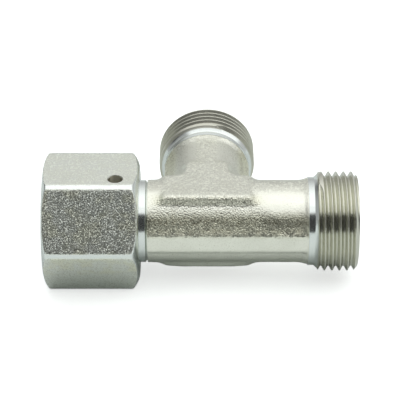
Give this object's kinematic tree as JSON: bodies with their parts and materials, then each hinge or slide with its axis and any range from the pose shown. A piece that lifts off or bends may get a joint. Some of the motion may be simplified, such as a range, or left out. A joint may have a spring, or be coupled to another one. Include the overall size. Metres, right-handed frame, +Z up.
{
  "type": "swivel run tee adapter",
  "caption": "Forged hydraulic run tee: wire-retained hexagon swivel nut over an O-ring sealed 24 degree cone, male threaded tube ends on the run and the branch.",
  "frame": {"origin": "where the axes of the run and the branch cross", "axes": "+X along the run towards its male end, with the swivel nut at -X; +Y along the branch towards its male end; +Z up, square to both, with a flat of the nut facing down"},
  "size_m": [0.0624, 0.0436, 0.024],
  "materials": {
    "forged_steel": "shot-blasted forging and turned ends, bright zinc plated",
    "nut_steel": "grained zinc plated flats, turned ends",
    "wire_steel": "drawn wire",
    "seal_rubber": "black nitrile rubber"
  },
  "bodies": {
    "tee": {"tee_body": "forged_steel", "cone_o_ring": "seal_rubber"},
    "nut": {"swivel_nut": "nut_steel", "thrust_wire": "wire_steel"}
  },
  "joints": [
    {"name": "nut_swivel", "type": "hinge", "parent": "tee", "child": "nut", "pos_m": [-0.018, 0, 0], "axis": [1, 0, 0], "continuous": true}
  ]
}
